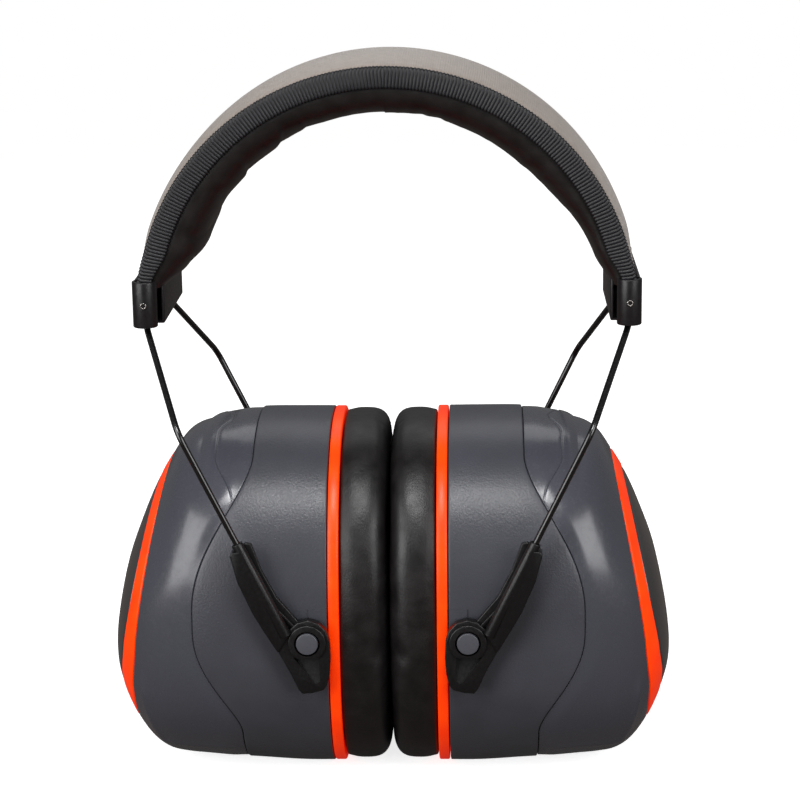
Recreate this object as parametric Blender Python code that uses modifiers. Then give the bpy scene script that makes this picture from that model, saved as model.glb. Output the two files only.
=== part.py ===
"""Over-the-head hearing protection earmuffs, standing on their cups, modelled at rest and closed.

Frame: origin under the middle on the surface the cups stand on, +X to the right, +Y to the rear,
+Z up. The names below are in millimetres and objects are built in metres.
"""

import math

import bmesh
import bpy
from mathutils import Vector

MM = 0.001

# Driving dimensions.
CUSHION_FACE = 0.15  # distance of each ear cushion's face from the centre plane
RIM = 12.8  # where the accent ring of the cup begins, from the centre plane
RING_WIDTH = 2.8
GAP = 0.3  # left between neighbouring pieces
WALL = 2.4
SKIN = 1.5  # thickness of the outer shell, the stripe and the end cap
STEP = SKIN + 2 * GAP  # how deep they are let into the base
PIVOT = (20.9, 46.0)  # distance from the centre plane and height of the cup's pivot
PIVOT_FACE = 48.2  # where the pivot pins end, front and rear
ARM_PLANE = (44.2, 47.2)  # back and front of an arm's plate
WIRE_PLANE = 47.6  # the wires' lower run lies in this plane, front and rear
WIRE_RADIUS = 0.85
WIRE_BEND = (52.6, 102.6)  # distance from the centre plane and height
ARM_TOP = (38.3, 73.0)  # where a wire enters its arm
CLIP_EXIT = (63.6, 20.0, 125.2)  # where a wire leaves the end clip
BAND_RADIUS = 65.3
BAND_CENTRE = 127.3  # height of the headband arc's centre
BAND_CROWN = 1.3  # how far the cover's middle stands above its edges
BAND_HALF_WIDTH = 24.0
BINDING = (1.6, 6.3)  # thickness across the band and height of the edge binding
BAND_END = 80.5  # angle from the top where the cover and its bindings end
PAD_END = 79.5
PAD_BACK = BAND_RADIUS - 3.6  # radius of the pad's back
FLEX_ANGLE = 45.0  # where on the arc the spring band is hinged, from the top

# Half a cup seen from the front, as stations from the rim to the outermost point:
# distance from the centre plane, top, bottom and half of the depth from front to rear.
CUP_STATIONS = (
    (12.8, 96.0, -0.9, 43.0),
    (24.0, 96.1, -0.9, 43.0),
    (36.0, 96.0, -0.1, 42.9),
    (44.0, 94.9, 0.4, 42.6),
    (50.6, 93.7, 0.9, 41.6),
    (56.0, 89.9, 1.3, 40.0),
    (60.9, 83.2, 2.3, 38.0),
    (65.1, 75.9, 5.2, 35.6),
    (68.9, 67.0, 10.5, 32.4),
    (72.1, 58.0, 17.0, 27.6),
    (74.6, 46.5, 23.8, 20.0),
    (75.9, 37.5, 28.2, 10.0),
    (76.2, 32.5, 32.5, 0.0),
)
SQUARENESS = 2.35  # superellipse exponent of the cup's outline seen from the side
AROUND = 26  # points around a cup

SIDES = {"left": -1, "right": 1}
ENDS = {"front": -1, "rear": 1}


def clear_scene():
    for obj in list(bpy.data.objects):
        bpy.data.objects.remove(obj, do_unlink=True)


def new_collection(name):
    collection = bpy.data.collections.new(name)
    bpy.context.scene.collection.children.link(collection)
    return collection


def new_material(name, colour, roughness, metallic=0.0):
    material = bpy.data.materials.new(name)
    material.use_nodes = True
    shader = material.node_tree.nodes["Principled BSDF"]
    shader.inputs["Base Color"].default_value = (*colour, 1.0)
    shader.inputs["Roughness"].default_value = roughness
    shader.inputs["Metallic"].default_value = metallic
    return material


def new_object(name, data, collection, material=None):
    obj = bpy.data.objects.new(name, data)
    collection.objects.link(obj)
    if material:
        data.materials.append(material)
    return obj


def from_bmesh(name, shape, material, collection=None):
    """A smooth-shaded object with sharp edges kept, from a bmesh in metres."""
    bmesh.ops.recalc_face_normals(shape, faces=shape.faces)
    mesh = bpy.data.meshes.new(name)
    shape.to_mesh(mesh)
    shape.free()
    mesh.shade_smooth()
    mesh.set_sharp_from_angle(angle=math.radians(35))
    return new_object(name, mesh, collection or parts, material)


def loft(name, rings, material, closed=True):
    """A solid through rings of equally many points. A ring of one point is a pole; closed joins
    the last ring to the first, and otherwise both ends are capped."""
    shape = bmesh.new()
    loops = [[shape.verts.new(Vector(point) * MM) for point in ring] for ring in rings]
    pairs = list(zip(loops, loops[1:]))
    if closed:
        pairs.append((loops[-1], loops[0]))
    for near, far in pairs:
        if len(near) == 1 and len(far) == 1:
            continue
        for i in range(max(len(near), len(far))):
            corners = [near[i % len(near)], near[(i + 1) % len(near)]]
            corners += [far[(i + 1) % len(far)], far[i % len(far)]]
            shape.faces.new(list(dict.fromkeys(corners)))
    if not closed:
        for loop in (loops[0], loops[-1]):
            if len(loop) > 1:
                shape.faces.new(loop)
    return from_bmesh(name, shape, material)


def turned(name, profile, origin, turn, material, sides=20):
    """A profile of (radius, height) from its top centre down, turned about the object's Z axis."""
    mesh = bpy.data.meshes.new(name)
    points = [(radius * MM, 0.0, height * MM) for radius, height in profile]
    mesh.from_pydata(points, [(i, i + 1) for i in range(len(points) - 1)], [])
    obj = new_object(name, mesh, parts, material)
    obj.location = Vector(origin) * MM
    obj.rotation_euler = turn
    screw = obj.modifiers.new("Turn", "SCREW")
    screw.steps = sides
    screw.render_steps = sides
    screw.use_merge_vertices = True
    screw.merge_threshold = 0.0001
    screw.use_smooth_shade = True
    return obj


def cylinder(radius, start, end, sides=20):
    """A closed cylinder between two points, as a bmesh."""
    start = Vector(start) * MM
    end = Vector(end) * MM
    shape = bmesh.new()
    place = (end - start).to_track_quat("Z", "Y").to_matrix().to_4x4()
    place.translation = (start + end) / 2
    bmesh.ops.create_cone(shape, cap_ends=True, segments=sides, radius1=radius * MM,
                          radius2=radius * MM, depth=(end - start).length, matrix=place)
    return shape


def cutter(name, shape):
    obj = from_bmesh(name, shape, None, cutters)
    obj.hide_render = True
    obj.display_type = "WIRE"
    return obj


def boolean(obj, tool, operation):
    modifier = obj.modifiers.new(tool.name, "BOOLEAN")
    modifier.operation = operation
    modifier.object = tool


# The cup's outer surface.

def stations_at(place):
    """The four station values at a fractional place along CUP_STATIONS, on a smooth curve."""
    last = len(CUP_STATIONS) - 1
    place = min(max(place, 0.0), float(last))
    i = min(int(place), last - 1)
    t = place - i
    before, start, end, after = (CUP_STATIONS[min(max(i + k, 0), last)] for k in (-1, 0, 1, 2))
    values = []
    for a, b, c, d in zip(before, start, end, after):
        bend = 2 * a - 5 * b + 4 * c - d
        twist = 3 * (b - c) + d - a
        values.append(b + t * (c - a + t * (bend + t * twist)) / 2)
    return values


def place_of(distance):
    """Where along CUP_STATIONS the surface is this far from the centre plane."""
    low, high = 0.0, len(CUP_STATIONS) - 1.0
    for _ in range(40):
        middle = (low + high) / 2
        if stations_at(middle)[0] < distance:
            low = middle
        else:
            high = middle
    return low


def on_surface(place, angle):
    distance, top, bottom, depth = stations_at(place)
    power = 2 / SQUARENESS
    across = math.copysign(abs(math.cos(angle)) ** power, math.cos(angle))
    up = math.copysign(abs(math.sin(angle)) ** power, math.sin(angle))
    height = (top + bottom) / 2 + (top - bottom) / 2 * up
    return Vector((distance, max(depth, 0.0) * across, max(height, 0.0)))


def below_surface(place, angle, inset):
    """The surface point moved this far into the cup, along the surface's normal."""
    last = len(CUP_STATIONS) - 1
    point = on_surface(place, angle)
    if place > last - 0.01:
        return Vector((point.x - inset, point.y, point.z))
    along = on_surface(place + 0.01, angle) - on_surface(place - 0.01, angle)
    around = on_surface(place, angle + 0.02) - on_surface(place, angle - 0.02)
    return point - around.cross(along).normalized() * inset


def angles():
    return [2 * math.pi * i / AROUND for i in range(AROUND)]


def cup_ring(side, where, inset):
    """One ring round a cup. where is a place along the stations, or a function of the angle."""
    ring = []
    for angle in angles():
        place = where(angle) if callable(where) else where
        point = below_surface(place, angle, inset)
        ring.append((SIDES[side] * point.x, point.y, point.z))
    return ring


def pole(side, inset):
    point = below_surface(len(CUP_STATIONS) - 1, 0.0, inset)
    return [(SIDES[side] * point.x, point.y, point.z)]


def rim_ring(side, distance, inset):
    """A ring with the outline of the cup's rim, at any distance from the centre plane."""
    return [(SIDES[side] * distance, y, z) for _, y, z in cup_ring(side, place_of(14.0), inset)]


def seam(angle):
    """The seam between the matte base and the glossy outer shell, furthest out front and rear."""
    return place_of(36.0 + 16.0 * abs(math.cos(angle)) ** 4)


def stripe_inner_distance(angle):
    above, below = max(0.0, math.sin(angle)), max(0.0, -math.sin(angle))
    return 68.5 - 8.0 * above ** 1.15 + 1.2 * below


def stripe_inner(angle):
    """The inner edge of the stripe: it leans in over the top of the cup."""
    return place_of(stripe_inner_distance(angle))


def stripe_outer(angle):
    return place_of(stripe_inner_distance(angle) + 4.0 - 0.6 * max(0.0, math.sin(angle)))


def between(first, second, share):
    """A place function that is this share of the way from one edge to another."""
    def where(angle):
        start = first(angle) if callable(first) else first
        end = second(angle) if callable(second) else second
        return start + (end - start) * share
    return where


def past(edge):
    """The same edge further out, by enough to clear the edge where it slants."""
    def where(angle):
        return place_of(stations_at(edge(angle))[0] + 2 * GAP)
    return where


END = len(CUP_STATIONS) - 1.0


def deep_places():
    """Where the rings of the cup's inner wall lie, from the end of the cup to behind the seam."""
    places = [between(stripe_outer, END, share) for share in (0.75, 0.5, 0.25, 0.0)]
    return places + [between(seam, stripe_inner, share) for share in (0.75, 0.5, 0.25)]


def cup_shell(side):
    """The moulded base of the cup: a bowl, stepped in where the outer shell covers it."""
    rim = place_of(RIM + RING_WIDTH + GAP)
    outer = [cup_ring(side, rim, 0.0), cup_ring(side, place_of(26.0), 0.0)]
    outer.append(cup_ring(side, seam, 0.0))
    outer.append(cup_ring(side, seam, STEP))
    outer += [cup_ring(side, place, STEP) for place in reversed(deep_places())]
    deep = STEP + WALL
    inner = [cup_ring(side, place, deep) for place in deep_places()]
    inner.append(cup_ring(side, between(seam, rim, 0.12), deep))
    inner.append(cup_ring(side, place_of(26.0), WALL))
    inner.append(cup_ring(side, rim, WALL))
    rings = outer + [pole(side, STEP), pole(side, deep)] + inner
    shell = loft(f"cup_shell_{side}", rings, plastic["base"])
    for end in ENDS:
        hole = cylinder(2.15, pivot_at(side, end, 34.0), pivot_at(side, end, 50.0))
        boolean(shell, cutter(f"pivot_hole_{side}_{end}", hole), "DIFFERENCE")


def cover_between(name, side, places, material):
    """A closed cover SKIN thick over the rings at these places."""
    outer = [cup_ring(side, place, 0.0) for place in places]
    inner = [cup_ring(side, place, SKIN) for place in places]
    loft(name, outer + inner[::-1], material)


def outer_shell(side):
    places = [between(seam, stripe_inner, share) for share in (0.25, 0.5, 0.75)]
    cover_between(f"outer_shell_{side}", side, [past(seam), *places, stripe_inner],
                  plastic["gloss"])


def outer_stripe(side):
    cover_between(f"outer_stripe_{side}", side, [past(stripe_inner), stripe_outer],
                  plastic["accent"])


def end_cap(side):
    places = [past(stripe_outer)]
    places += [between(stripe_outer, END, share) for share in (0.25, 0.5, 0.75)]
    outer = [cup_ring(side, place, 0.0) for place in places]
    inner = [cup_ring(side, place, SKIN) for place in places]
    rings = outer + [pole(side, 0.0), pole(side, SKIN)] + inner[::-1]
    loft(f"end_cap_{side}", rings, plastic["gloss"])


def rim_band(name, side, section, material):
    """A ring with the rim's outline, from its section of (distance, inset) points."""
    return loft(name, [rim_ring(side, *point) for point in section], material)


def rim_pieces(side):
    """What closes the cup towards the head: the accent ring, the cushion and its plate."""
    near = RIM
    far = RIM + RING_WIDTH
    ring = ((near, 0.0), (far, 0.0), (far, 3.0), (near, 3.0))
    rim_band(f"accent_ring_{side}", side, ring, plastic["accent"])
    plate = ((near, 3.3), (far, 3.3), (far, 15.5), (near, 15.5))
    rim_band(f"cushion_plate_{side}", side, plate, plastic["black"])
    back = near - GAP
    face = CUSHION_FACE
    skin = ((back, 1.2), (8.5, 0.9), (4.5, 1.2), (1.6, 2.8), (face, 6.0), (face, 10.0),
            (1.6, 14.0), (4.5, 15.8), (back, 16.4))
    lining = ((back, 15.4), (5.0, 14.8), (2.5, 13.4), (1.2, 9.8), (1.2, 6.2), (2.5, 3.6),
              (5.0, 2.2), (back, 2.2))
    rim_band(f"cushion_skin_{side}", side, skin + lining, soft["leatherette"])
    foam = ((back, 2.6), (5.3, 2.6), (2.8, 4.0), (1.5, 6.4), (1.5, 9.6), (2.8, 13.0),
            (5.3, 14.4), (back, 15.0))
    rim_band(f"cushion_foam_{side}", side, foam, soft["foam"])


def acoustic_foam(side):
    """The block of foam that fills the outer half of the cup."""
    inset = STEP + WALL + 0.8
    rings = [cup_ring(side, place, inset) for place in deep_places()]
    loft(f"acoustic_foam_{side}", [pole(side, inset)] + rings, soft["foam"], closed=False)


# The pivots and the arms.

def pivot_at(side, end, depth):
    """A point on the cup's pivot axis, this far to the front or the rear of the middle."""
    return (SIDES[side] * PIVOT[0], ENDS[end] * depth, PIVOT[1])


def pivot_pin(side, end):
    """A pin held in the cup's wall: a button in the arm, a neck through the wall and a flange."""
    origin = pivot_at(side, end, 0.0)
    profile = ((0.0, PIVOT_FACE), (2.6, PIVOT_FACE), (2.9, PIVOT_FACE - 0.4), (2.9, 43.4),
               (1.9, 43.4), (1.9, 39.9), (3.2, 39.9), (3.2, 38.7), (0.0, 38.7))
    turn = (math.pi / 2 * -ENDS[end], 0.0, 0.0)
    turned(f"pivot_pin_{side}_{end}", profile, origin, turn, plastic["button"])


# An arm's outline seen from the front, from its top outer corner round past the pivot:
# distance from the centre plane and height.
ARM_OUTLINE = (
    (40.2, 71.2), (38.4, 65.1), (35.9, 58.3), (33.1, 51.7), (28.1, 44.4), (22.9, 33.4),
    (21.6, 32.4), (17.6, 33.2), (15.3, 35.2), (14.9, 39.9), (15.1, 45.9), (16.0, 49.0),
    (17.9, 51.2), (20.6, 52.3), (23.6, 52.2), (28.2, 57.6), (31.0, 63.2), (33.8, 70.0),
    (35.4, 73.2), (37.6, 73.6),
)


def wire_line(side, end, down):
    """A point on the line of a wire's lower run, this far below the top of its arm."""
    top = Vector((ARM_TOP[0], 0.0, ARM_TOP[1]))
    bend = Vector((WIRE_BEND[0], 0.0, WIRE_BEND[1]))
    point = top + (top - bend).normalized() * down
    return (SIDES[side] * point.x, ENDS[end] * WIRE_PLANE, point.z)


def arm(side, end):
    """A plate from the wire down to the pivot, with the wire's tube and the pivot's boss."""
    shape = bmesh.new()
    low = [shape.verts.new((SIDES[side] * x * MM, ENDS[end] * ARM_PLANE[0] * MM, z * MM))
           for x, z in ARM_OUTLINE]
    face = shape.faces.new(low)
    grown = bmesh.ops.extrude_face_region(shape, geom=[face])
    moved = [item for item in grown["geom"] if isinstance(item, bmesh.types.BMVert)]
    thickness = ENDS[end] * (ARM_PLANE[1] - ARM_PLANE[0]) * MM
    bmesh.ops.translate(shape, verts=moved, vec=(0.0, thickness, 0.0))
    body = from_bmesh(f"arm_{side}_{end}", shape, plastic["arm"])
    tube = cylinder(2.1, wire_line(side, end, -0.6), wire_line(side, end, 27.5), 16)
    boss = cylinder(5.3, pivot_at(side, end, ARM_PLANE[0]), pivot_at(side, end, 47.9))
    bore = cylinder(1.15, wire_line(side, end, -2.0), wire_line(side, end, 26.5), 12)
    hole = cylinder(3.15, pivot_at(side, end, 43.0), pivot_at(side, end, 52.0))
    boolean(body, cutter(f"wire_tube_{side}_{end}", tube), "UNION")
    boolean(body, cutter(f"pivot_boss_{side}_{end}", boss), "UNION")
    boolean(body, cutter(f"wire_bore_{side}_{end}", bore), "DIFFERENCE")
    boolean(body, cutter(f"pivot_bore_{side}_{end}", hole), "DIFFERENCE")


# The headband.

def on_arc(angle, radius, depth):
    """A point on the headband: angle in degrees from the top, positive to the right."""
    turn = math.radians(angle)
    return (radius * math.sin(turn), depth, BAND_CENTRE + radius * math.cos(turn))


def arc_angles(segment, end_angle, steps):
    """The angles along one of the headband's three segments, with a gap at the flex hinges."""
    gap = math.degrees(GAP / 2 / 50.0)
    if segment == "crown":
        first, last = gap - FLEX_ANGLE, FLEX_ANGLE - gap
    else:
        first, last = FLEX_ANGLE + gap, end_angle
    turns = [first + (last - first) * i / steps for i in range(steps + 1)]
    return [-turn for turn in turns] if segment == "left" else turns


def arc_sweep(name, segment, end_angle, section, material, steps=8):
    """A solid swept along the headband from its section of (radius, depth) points, which may be
    a function of the angle."""
    rings = []
    for angle in arc_angles(segment, end_angle, steps):
        points = section(abs(angle)) if callable(section) else section
        rings.append([on_arc(angle, radius, depth) for radius, depth in points])
    return loft(name, rings, material, closed=False)


def thinned(section):
    """The pad's section as a function of the angle: it thins out towards the end clips."""
    def at(angle):
        share = min(max((angle - 46.0) / (PAD_END - 46.0), 0.0), 1.0)
        keep = 1.0 - 0.55 * share ** 1.6
        return [(PAD_BACK - (PAD_BACK - radius) * keep, depth) for radius, depth in section]
    return at


def cover_section():
    """The crowned strip of fabric over the band, edge to edge and back underneath."""
    edge = BAND_HALF_WIDTH - BINDING[0] - GAP
    across = [edge * k / 3 for k in range(-3, 4)]
    crown = [BAND_RADIUS + BAND_CROWN * (1 - (y / edge) ** 2) for y in across]
    top = [(radius - 0.1, y) for radius, y in zip(crown, across)]
    under = [(BAND_RADIUS - 1.3, y) for y in (edge, -edge)]
    return top + under


def headband_segment(segment):
    edge = BAND_HALF_WIDTH - BINDING[0] - GAP
    arc_sweep(f"cover_{segment}", segment, BAND_END, cover_section(), soft["fabric"])
    for end, sign in ENDS.items():
        outer = sign * BAND_HALF_WIDTH
        inner = sign * (BAND_HALF_WIDTH - BINDING[0])
        low = BAND_RADIUS - BINDING[1]
        section = ((BAND_RADIUS, outer), (BAND_RADIUS, inner), (low, inner), (low, outer))
        arc_sweep(f"binding_{segment}_{end}", segment, BAND_END, section, soft["binding"])
    high = PAD_BACK
    skin = ((high, -edge), (56.0, -edge), (53.0, -17.0), (51.2, -9.0), (51.2, 9.0), (53.0, 17.0),
            (56.0, edge), (high, edge), (high, edge - 1.0), (56.6, edge - 1.0), (54.1, 16.2),
            (52.3, 8.6), (52.3, -8.6), (54.1, -16.2), (56.6, 1.0 - edge), (high, 1.0 - edge))
    arc_sweep(f"pad_skin_{segment}", segment, PAD_END, thinned(skin), soft["leatherette"])
    foam = ((high, 1.3 - edge), (56.8, 1.3 - edge), (54.4, -16.0), (52.6, -8.5), (52.6, 8.5),
            (54.4, 16.0), (56.8, edge - 1.3), (high, edge - 1.3))
    arc_sweep(f"pad_foam_{segment}", segment, PAD_END, thinned(foam), soft["foam"])


def corner(before, at, after, reach):
    """A rounded corner of a wire as points on a curve that leaves and joins the straight runs."""
    at = Vector(at)
    start = at + (Vector(before) - at).normalized() * reach
    end = at + (Vector(after) - at).normalized() * reach
    rounded = []
    for k in range(5):
        t = k / 4
        rounded.append(start * (1 - t) ** 2 + at * 2 * t * (1 - t) + end * t ** 2)
    return [tuple(point) for point in rounded]


def wire(name, route):
    """A sprung steel wire of round section along a route."""
    curve = bpy.data.curves.new(name, "CURVE")
    curve.dimensions = "3D"
    curve.bevel_depth = WIRE_RADIUS * MM
    curve.bevel_resolution = 2
    curve.use_fill_caps = True
    spline = curve.splines.new("POLY")
    spline.points.add(len(route) - 1)
    for point, place in zip(spline.points, route):
        point.co = (*(Vector(place) * MM), 1.0)
    return new_object(name, curve, parts, metal["wire"])


def spring_wires(end):
    """One wire runs the whole way in the real band. It is hinged where the headband flexes."""
    depth = ENDS[end] * CLIP_EXIT[1]
    radius = BAND_RADIUS - 2.45
    crown = [on_arc(angle, radius, depth) for angle in arc_angles("crown", 0.0, 10)]
    wire(f"spring_wire_crown_{end}", crown)
    for side, sign in SIDES.items():
        route = [on_arc(angle, radius, depth) for angle in arc_angles(side, BAND_END, 6)]
        exit_point = (sign * CLIP_EXIT[0], depth, CLIP_EXIT[2])
        bend = (sign * WIRE_BEND[0], ENDS[end] * WIRE_PLANE, WIRE_BEND[1])
        foot = wire_line(side, end, 5.0)
        route += corner(route[-1], exit_point, bend, 3.0)
        route += corner(exit_point, bend, foot, 4.0)
        wire(f"spring_wire_{side}_{end}", route + [foot])


def end_clip(side):
    """The moulded sleeve that closes the band's end and lets the two wires out below."""
    low = (59.9, -25.3, 125.1)
    high = (66.7, 25.3, 137.3)
    shape = box_between(side, low, high)
    bmesh.ops.bevel(shape, geom=shape.edges[:], offset=0.8 * MM, segments=2, affect="EDGES")
    clip = from_bmesh(f"end_clip_{side}", shape, plastic["arm"])
    hollow = box_between(side, (60.8, -24.3, 126.5), (65.8, 24.3, 141.0))
    boolean(clip, cutter(f"clip_hollow_{side}", hollow), "DIFFERENCE")
    for end, sign in ENDS.items():
        mouth = box_between(side, (61.2, sign * 20.0 - 3.0, 123.0), (65.6, sign * 20.0 + 3.0, 128.0))
        boolean(clip, cutter(f"wire_mouth_{side}_{end}", mouth), "DIFFERENCE")
        centre = (SIDES[side] * 63.3, 0.0, 131.2)
        start = (centre[0], sign * 23.0, centre[2])
        hole = cylinder(0.85, start, (centre[0], sign * 27.0, centre[2]), 10)
        boolean(clip, cutter(f"rivet_hole_{side}_{end}", hole), "DIFFERENCE")
        profile = ((0.0, 25.9), (0.7, 25.9), (1.2, 25.6), (0.6, 25.6), (0.6, 23.2), (0.0, 23.2))
        turn = (math.pi / 2 * -sign, 0.0, 0.0)
        turned(f"clip_rivet_{side}_{end}", profile, centre, turn, metal["rivet"], 10)


def box_between(side, low, high):
    """A box between two corners given for the right side, as a bmesh."""
    low = Vector(low) * MM
    high = Vector(high) * MM
    shape = bmesh.new()
    bmesh.ops.create_cube(shape, size=1.0)
    bmesh.ops.scale(shape, verts=shape.verts, vec=high - low)
    bmesh.ops.translate(shape, verts=shape.verts, vec=(low + high) / 2)
    if SIDES[side] < 0:
        bmesh.ops.scale(shape, verts=shape.verts, vec=(-1.0, 1.0, 1.0))
        bmesh.ops.reverse_faces(shape, faces=shape.faces)
    return shape


clear_scene()
parts = new_collection("earmuffs")
cutters = new_collection("earmuff_cutters")
plastic = {
    "base": new_material("moulded_slate_plastic", (0.055, 0.056, 0.065), 0.42),
    "gloss": new_material("polished_slate_plastic", (0.050, 0.051, 0.060), 0.12),
    "accent": new_material("orange_plastic", (0.90, 0.07, 0.01), 0.35),
    "black": new_material("black_plate_plastic", (0.02, 0.02, 0.02), 0.5),
    "arm": new_material("black_arm_plastic", (0.012, 0.011, 0.011), 0.38),
    "button": new_material("grey_button_plastic", (0.07, 0.07, 0.08), 0.4),
}
metal = {
    "wire": new_material("black_sprung_steel", (0.012, 0.012, 0.014), 0.3, 0.6),
    "rivet": new_material("dark_rivet_steel", (0.05, 0.05, 0.05), 0.35, 0.9),
}
soft = {
    "fabric": new_material("grey_band_fabric", (0.36, 0.32, 0.28), 0.9),
    "binding": new_material("black_ribbed_binding", (0.012, 0.013, 0.018), 0.75),
    "leatherette": new_material("black_leatherette", (0.018, 0.016, 0.016), 0.4),
    "foam": new_material("dark_foam", (0.05, 0.05, 0.05), 0.95),
}
for cup_side in SIDES:
    cup_shell(cup_side)
    outer_shell(cup_side)
    outer_stripe(cup_side)
    end_cap(cup_side)
    rim_pieces(cup_side)
    acoustic_foam(cup_side)
    end_clip(cup_side)
    for pivot_end in ENDS:
        pivot_pin(cup_side, pivot_end)
        arm(cup_side, pivot_end)
for band_segment in ("left", "crown", "right"):
    headband_segment(band_segment)
for wire_end in ENDS:
    spring_wires(wire_end)
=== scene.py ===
# %% [markdown]
# # Hearing protection earmuffs
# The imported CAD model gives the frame: seven bodies that move, and a plain solid for each piece.
# This script builds the pieces that are seen around that frame, with their real edges, seams,
# grain and weave. It works in millimetres and turns them to metres when a mesh is made.
# %% Load the frame
import math

import bpy
import numpy as np
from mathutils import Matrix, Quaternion, Vector, noise


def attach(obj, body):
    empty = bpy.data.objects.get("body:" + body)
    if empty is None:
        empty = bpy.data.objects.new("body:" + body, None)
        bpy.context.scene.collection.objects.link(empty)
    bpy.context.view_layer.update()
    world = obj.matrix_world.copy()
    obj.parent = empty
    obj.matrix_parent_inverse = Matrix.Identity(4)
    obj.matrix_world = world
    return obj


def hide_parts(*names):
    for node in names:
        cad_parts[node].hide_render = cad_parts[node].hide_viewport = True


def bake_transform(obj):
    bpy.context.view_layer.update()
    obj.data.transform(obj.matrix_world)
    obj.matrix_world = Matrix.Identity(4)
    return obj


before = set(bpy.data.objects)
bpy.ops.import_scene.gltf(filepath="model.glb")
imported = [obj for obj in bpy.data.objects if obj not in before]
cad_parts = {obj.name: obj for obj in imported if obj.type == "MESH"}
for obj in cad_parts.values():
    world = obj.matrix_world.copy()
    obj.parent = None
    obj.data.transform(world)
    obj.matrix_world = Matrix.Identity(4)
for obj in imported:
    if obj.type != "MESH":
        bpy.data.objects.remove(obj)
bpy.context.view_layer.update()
MM = 0.001
SIDES = {"left": -1, "right": 1}
ENDS = {"front": -1, "rear": 1}

# %% [markdown]
# ## Helpers for meshes
# Most of an earmuff is moulded freely, so its pieces are grids laid over a surface. A flat grid
# primitive has one row for each ring of points, keeps a UV map on the way, and is merged where
# its ends meet. That is quicker to shape than a sculpt and it is exact where pieces meet.
# %% Mesh helpers
def deselect_all():
    bpy.ops.object.select_all(action="DESELECT")


def only(obj):
    """Makes this the one selected and active object."""
    deselect_all()
    obj.select_set(True)
    bpy.context.view_layer.objects.active = obj
    return obj


def in_edit_mode(obj, *steps):
    """Runs these edit-mode steps on all of an object's mesh."""
    only(obj)
    bpy.ops.object.mode_set(mode="EDIT")
    bpy.ops.mesh.select_all(action="SELECT")
    for step in steps:
        step()
    bpy.ops.object.mode_set(mode="OBJECT")
    return obj


def close_up(obj):
    """Merges the points that meet and turns every face outwards."""
    return in_edit_mode(
        obj,
        lambda: bpy.ops.mesh.remove_doubles(threshold=1e-6),
        lambda: bpy.ops.mesh.normals_make_consistent(inside=False))


def points_of(obj):
    flat = np.empty(len(obj.data.vertices) * 3)
    obj.data.vertices.foreach_get("co", flat)
    return flat.reshape(-1, 3)


def put_points(obj, points):
    obj.data.vertices.foreach_set("co", np.ascontiguousarray(points).ravel())
    obj.data.update()


def laid_grid(name, rings):
    """A grid with a row for each ring of points, given in millimetres."""
    rings = np.array([np.asarray(ring) for ring in rings])
    rows, columns = rings.shape[:2]
    deselect_all()
    bpy.ops.mesh.primitive_grid_add(x_subdivisions=columns - 1, y_subdivisions=rows - 1, size=1.0)
    obj = bpy.context.object
    obj.name = name
    share = points_of(obj)[:, :2] + 0.5
    column = np.rint(share[:, 0] * (columns - 1)).astype(int)
    row = np.rint(share[:, 1] * (rows - 1)).astype(int)
    put_points(obj, rings[row, column] * MM)
    return close_up(obj)


def with_ends(rings):
    """The rings with a point at each end, so that the grid made from them is closed there."""
    first, last = (np.repeat(ring.mean(0)[None], len(ring), axis=0)
                   for ring in (rings[0], rings[-1]))
    return [first, *rings, last]


def mirrored(obj, name, axis):
    """A copy with its own mesh on the other side: axis 0 is left and right, 1 front and rear."""
    copy = obj.copy()
    copy.data = obj.data.copy()
    copy.name = name
    bpy.context.scene.collection.objects.link(copy)
    copy.scale[axis] = -1.0
    only(copy)
    bpy.ops.object.transform_apply(location=False, rotation=False, scale=True)
    return close_up(copy)


def on_each_side(build, name):
    """The piece built for the right side, and its mirror image for the left."""
    right = build(f"{name}_right")
    return {"right": right, "left": mirrored(right, f"{name}_left", 0)}


def on_each_corner(build, name):
    """The piece built for the right front, and its mirror images for the other three corners."""
    pieces = on_each_side(lambda side_name: build(f"{side_name}_front"), name)
    corners = {(side, "front"): piece for side, piece in pieces.items()}
    for side, piece in pieces.items():
        piece.name = f"{name}_{side}_front"
        corners[side, "rear"] = mirrored(piece, f"{name}_{side}_rear", 1)
    return corners


def apply(obj, kind, **settings):
    """Adds a modifier and applies it."""
    only(obj)
    modifier = obj.modifiers.new(kind.title(), kind)
    for key, value in settings.items():
        setattr(modifier, key, value)
    bpy.ops.object.modifier_apply(modifier=modifier.name)
    return obj


def dress(obj, material, angle=35):
    """Smooths a finished piece up to this angle and gives it its material."""
    only(obj)
    bpy.ops.object.shade_smooth_by_angle(angle=math.radians(angle))
    obj.data.materials.clear()
    obj.data.materials.append(material)
    return obj


def smooth_step(value, start, end):
    """0 before start, 1 after end and a smooth rise between."""
    share = np.clip((value - start) / (end - start), 0.0, 1.0)
    return share * share * (3 - 2 * share)


# %% [markdown]
# ## Helpers for materials
# Colours are written as sRGB hex, as a colour card gives them, and turned to linear once. One
# small function adds a node: its settings are keywords and its inputs a dictionary.
# %% Material helpers
def linear(hex_colour):
    """An sRGB hex colour as linear RGBA."""
    parts = [int(hex_colour[i:i + 2], 16) / 255 for i in (0, 2, 4)]
    return (*[c / 12.92 if c <= 0.04045 else ((c + 0.055) / 1.055) ** 2.4 for c in parts], 1.0)


def add_node(tree, kind, inputs, **settings):
    """A node with its settings made and its inputs set, or linked where a socket is given."""
    node = tree.nodes.new(f"ShaderNode{kind}")
    for key, value in settings.items():
        setattr(node, key, value)
    for key, value in inputs.items():
        if isinstance(value, bpy.types.NodeSocket):
            tree.links.new(value, node.inputs[key])
        else:
            node.inputs[key].default_value = value
    return node


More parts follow.
